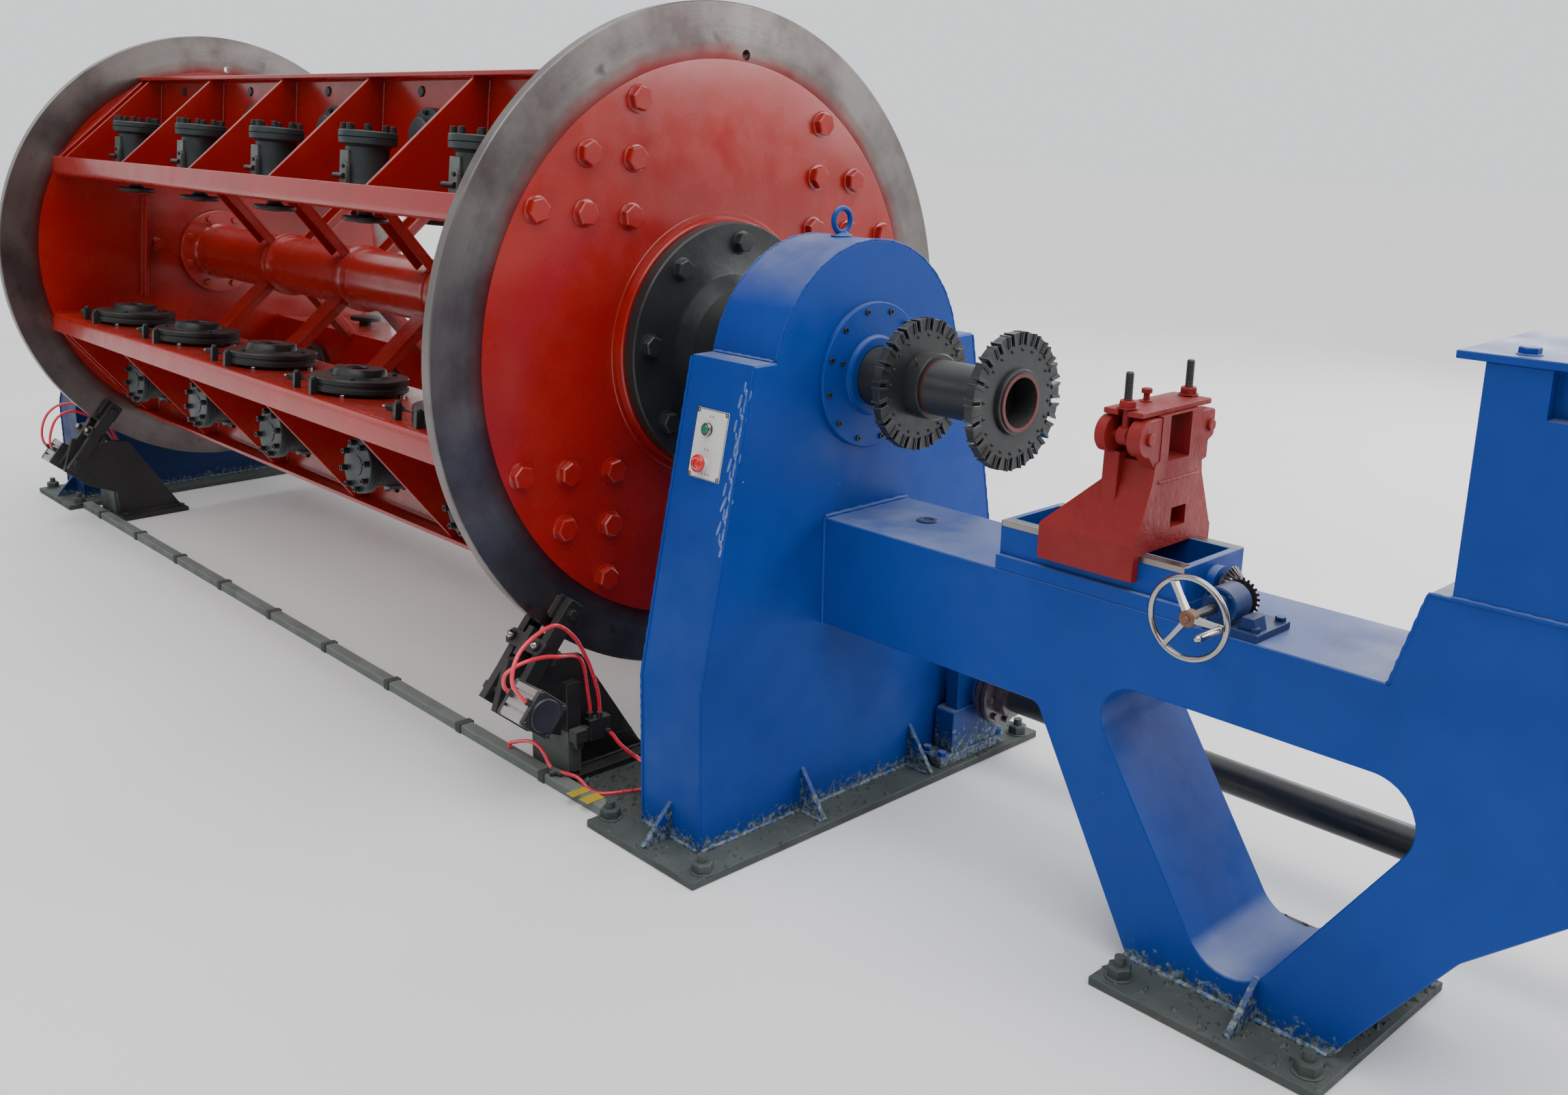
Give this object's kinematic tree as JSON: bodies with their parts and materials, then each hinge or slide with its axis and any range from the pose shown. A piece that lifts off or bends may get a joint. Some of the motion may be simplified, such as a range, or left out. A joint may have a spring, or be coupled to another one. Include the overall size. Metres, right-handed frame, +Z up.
{
  "type": "rigid-frame cable strander section",
  "caption": "Red bobbin cage between two big discs on blue pedestals, with rim brakes, lay plates and a closing-die holder on a stand with a handwheel slide",
  "frame": {"origin": "on the floor under the middle of the front pedestal's base plate", "axes": "+X downstream along the cage axis towards the die stand, +Y to the side away from the operator, +Z up"},
  "size_m": [6.49, 1.7992, 2.0276],
  "materials": {
    "cage_red": "glossy orange-red enamel, bare turned rim, oil and scuffs",
    "tube_red": "red enamel over rolled tube, worn at the collars",
    "hub_black": "blackened and oiled steel, worn bright at the edges",
    "machine_blue": "glossy royal-blue enamel, dusty on top faces",
    "dark_blue": "dark blue enamel in shade",
    "panel_grey": "light grey plate",
    "green_plastic": "glossy green push-button",
    "signal_red": "glossy red mushroom button",
    "holder_oxide": "red-oxide paint with chips and grease",
    "bright_steel": "polished rim and spokes, brown hub",
    "duct_green": "dirty grey-green floor duct",
    "brake_black": "black paint over flame-cut plate",
    "cylinder_alloy": "anodised aluminium with T-slots",
    "hose_red": "translucent red polyurethane tube"
  },
  "bodies": {
    "ground": {"front_pedestal": "machine_blue", "front_bearing_cover": "machine_blue", "rear_pedestal": "dark_blue", "control_plate": "panel_grey", "die_stand": "machine_blue", "column_cap": "machine_blue", "slide_frame": "machine_blue", "gear_bracket": "machine_blue", "bearing_block": "machine_blue", "floor_duct": "duct_green", "front_brake_bracket": "brake_black", "rear_brake_bracket": "brake_black", "front_valve_block": "brake_black", "rear_valve_block": "brake_black", "hose_front_a": "hose_red", "hose_front_b": "hose_red", "hose_feed": "hose_red", "hose_floor": "hose_red", "hose_rear_a": "hose_red", "hose_rear_b": "hose_red"},
    "cage": {"front_disc": "cage_red", "rear_disc": "cage_red", "centre_tube": "tube_red", "column_near_upper": "cage_red", "column_near_lower": "cage_red", "column_far_lower": "cage_red", "column_far_upper": "cage_red", "front_shaft": "hub_black", "rear_shaft": "hub_black", "lay_plate_1": "hub_black", "lay_plate_2": "hub_black"},
    "line_shafting": {"line_shaft": "hub_black"},
    "start_push": {"start_button": "green_plastic"},
    "stop_push": {"stop_button": "signal_red"},
    "die_carriage": {"die_holder": "holder_oxide", "clamp_plate": "holder_oxide"},
    "near_swing_bolt": {"swing_bolt_near": "holder_oxide"},
    "far_swing_bolt": {"swing_bolt_far": "holder_oxide"},
    "screw": {"lead_screw": "hub_black"},
    "wheel": {"handwheel": "bright_steel"},
    "front_outer_arm": {"front_brake_arm_outer": "brake_black", "front_brake_cylinder": "cylinder_alloy"},
    "front_inner_arm": {"front_brake_arm_inner": "brake_black"},
    "rear_outer_arm": {"rear_brake_arm_outer": "brake_black", "rear_brake_cylinder": "cylinder_alloy"},
    "rear_inner_arm": {"rear_brake_arm_inner": "brake_black"},
    "bobbin_brake_1": {"brake_disc_1": "hub_black"},
    "bobbin_brake_2": {"brake_disc_2": "hub_black"},
    "bobbin_brake_3": {"brake_disc_3": "hub_black"},
    "bobbin_brake_4": {"brake_disc_4": "hub_black"},
    "bobbin_brake_5": {"brake_disc_5": "hub_black"},
    "bobbin_pintle_1": {"pintle_1": "hub_black"},
    "bobbin_pintle_2": {"pintle_2": "hub_black"},
    "bobbin_pintle_3": {"pintle_3": "hub_black"},
    "bobbin_pintle_4": {"pintle_4": "hub_black"},
    "bobbin_pintle_5": {"pintle_5": "hub_black"}
  },
  "joints": [
    {"name": "cage_spin", "type": "hinge", "parent": "ground", "child": "cage", "pos_m": [-0.465, 0, 1.128], "axis": [1, 0, 0], "continuous": true},
    {"name": "line_shaft_spin", "type": "hinge", "parent": "ground", "child": "line_shafting", "pos_m": [-0.465, 0.45, 0.203], "axis": [1, 0, 0], "continuous": true},
    {"name": "bobbin_brake_1_spin", "type": "hinge", "parent": "cage", "child": "bobbin_brake_1", "pos_m": [-0.90325, -0.52895, 0.94753], "axis": [0, 0.1011, 0.9949], "continuous": true},
    {"name": "bobbin_brake_2_spin", "type": "hinge", "parent": "cage", "child": "bobbin_brake_2", "pos_m": [-1.51975, -0.52895, 0.94753], "axis": [0, 0.1011, 0.9949], "continuous": true},
    {"name": "bobbin_brake_3_spin", "type": "hinge", "parent": "cage", "child": "bobbin_brake_3", "pos_m": [-2.13625, -0.52895, 0.94753], "axis": [0, 0.1011, 0.9949], "continuous": true},
    {"name": "bobbin_brake_4_spin", "type": "hinge", "parent": "cage", "child": "bobbin_brake_4", "pos_m": [-2.75275, -0.52895, 0.94753], "axis": [0, 0.1011, 0.9949], "continuous": true},
    {"name": "bobbin_brake_5_spin", "type": "hinge", "parent": "cage", "child": "bobbin_brake_5", "pos_m": [-3.36925, -0.52895, 0.94753], "axis": [0, 0.1011, 0.9949], "continuous": true},
    {"name": "pintle_1_slide", "type": "slide", "parent": "cage", "child": "bobbin_pintle_1", "axis": [0, -0.1011, -0.9949], "range_m": [0, 0.1]},
    {"name": "pintle_2_slide", "type": "slide", "parent": "cage", "child": "bobbin_pintle_2", "axis": [0, -0.1011, -0.9949], "range_m": [0, 0.1]},
    {"name": "pintle_3_slide", "type": "slide", "parent": "cage", "child": "bobbin_pintle_3", "axis": [0, -0.1011, -0.9949], "range_m": [0, 0.1]},
    {"name": "pintle_4_slide", "type": "slide", "parent": "cage", "child": "bobbin_pintle_4", "axis": [0, -0.1011, -0.9949], "range_m": [0, 0.1]},
    {"name": "pintle_5_slide", "type": "slide", "parent": "cage", "child": "bobbin_pintle_5", "axis": [0, -0.1011, -0.9949], "range_m": [0, 0.1]},
    {"name": "start_button_push", "type": "slide", "parent": "ground", "child": "start_push", "axis": [0, 0.9788, -0.2047], "range_m": [0, 0.003], "stiffness_N_per_m": 900, "springref_m": -0.002},
    {"name": "stop_button_push", "type": "slide", "parent": "ground", "child": "stop_push", "axis": [0, 0.9788, -0.2047], "range_m": [0, 0.004]},
    {"name": "die_slide", "type": "slide", "parent": "ground", "child": "die_carriage", "axis": [1, 0, 0], "range_m": [-0.08, 0.08]},
    {"name": "lead_screw_turn", "type": "hinge", "parent": "ground", "child": "screw", "pos_m": [1.123, -0.029, 0.845], "axis": [1, 0, 0], "range_deg": [-2890, 2890]},
    {"name": "handwheel_turn", "type": "hinge", "parent": "ground", "child": "wheel", "pos_m": [1.168, -0.1, 0.845], "axis": [0, 1, 0], "range_deg": [-2890, 2890]},
    {"name": "near_swing_bolt_tilt", "type": "hinge", "parent": "die_carriage", "child": "near_swing_bolt", "pos_m": [0.922, -0.131, 1.135], "axis": [1, 0, 0], "range_deg": [0, 95]},
    {"name": "far_swing_bolt_tilt", "type": "hinge", "parent": "die_carriage", "child": "far_swing_bolt", "pos_m": [0.922, 0.091, 1.135], "axis": [1, 0, 0], "range_deg": [-95, 0]},
    {"name": "front_brake_outer_swing", "type": "hinge", "parent": "ground", "child": "front_outer_arm", "pos_m": [-0.4285, -0.61579, 0.39413], "axis": [0, 0.766, -0.6428], "range_deg": [-0.5, 1]},
    {"name": "front_brake_inner_swing", "type": "hinge", "parent": "ground", "child": "front_inner_arm", "pos_m": [-0.5375, -0.61579, 0.39413], "axis": [0, 0.766, -0.6428], "range_deg": [-1, 0.5]},
    {"name": "rear_brake_outer_swing", "type": "hinge", "parent": "ground", "child": "rear_outer_arm", "pos_m": [-3.8405, -0.61579, 0.39413], "axis": [0, 0.766, -0.6428], "range_deg": [-1, 0.5]},
    {"name": "rear_brake_inner_swing", "type": "hinge", "parent": "ground", "child": "rear_inner_arm", "pos_m": [-3.7315, -0.61579, 0.39413], "axis": [0, 0.766, -0.6428], "range_deg": [-0.5, 1]}
  ],
  "couplings": [
    {"joint": "line_shaft_spin", "follows": "cage_spin", "ratio": -3},
    {"joint": "lead_screw_turn", "follows": "die_slide", "rad_per_m": 628.32},
    {"joint": "handwheel_turn", "follows": "die_slide", "rad_per_m": -628.32},
    {"joint": "front_brake_inner_swing", "follows": "front_brake_outer_swing", "ratio": -1},
    {"joint": "rear_brake_inner_swing", "follows": "rear_brake_outer_swing", "ratio": -1}
  ]
}
